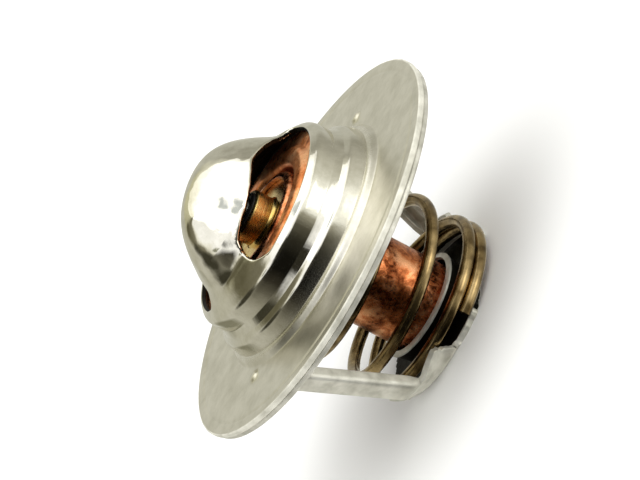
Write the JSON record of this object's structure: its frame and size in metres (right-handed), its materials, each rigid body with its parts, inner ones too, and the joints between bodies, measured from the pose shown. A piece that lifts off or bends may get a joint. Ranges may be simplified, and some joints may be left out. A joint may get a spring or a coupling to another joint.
{
  "type": "engine thermostat",
  "caption": "Wax element engine thermostat with a round clamping flange, a domed bridge over the valve, a sprung valve disc and an open two-legged cage.",
  "frame": {"origin": "centre of the flange's upper face", "axes": "+Z along the valve's axis towards the bridge, +X through one leg of the cage"},
  "size_m": [0.054, 0.054, 0.0383],
  "materials": {
    "tinned_steel": "bright pressed",
    "cage_steel": "dull pressed",
    "copper_plate": "dull copper",
    "spring_steel": "oil tempered",
    "copper_cup": "tarnished copper",
    "guide_brass": "turned",
    "piston_steel": "ground",
    "rubber": "matte",
    "ptfe": "matte",
    "wax": "matte"
  },
  "bodies": {
    "frame": {"upper_pressing": "tinned_steel", "cage": "cage_steel", "piston": "piston_steel", "return_spring": "spring_steel"},
    "valve": {"valve_disc": "copper_plate", "capsule_cup": "copper_cup", "wax_charge": "wax", "rubber_boot": "rubber", "guide": "guide_brass", "anti_extrusion_washer": "ptfe", "piston_wiper": "rubber"}
  },
  "joints": [
    {"name": "valve_lift", "type": "slide", "parent": "frame", "child": "valve", "axis": [0, 0, -1], "range_m": [0, 0.008], "stiffness_N_per_m": 1500, "springref_m": -0.006, "deforming": ["return_spring"]}
  ]
}
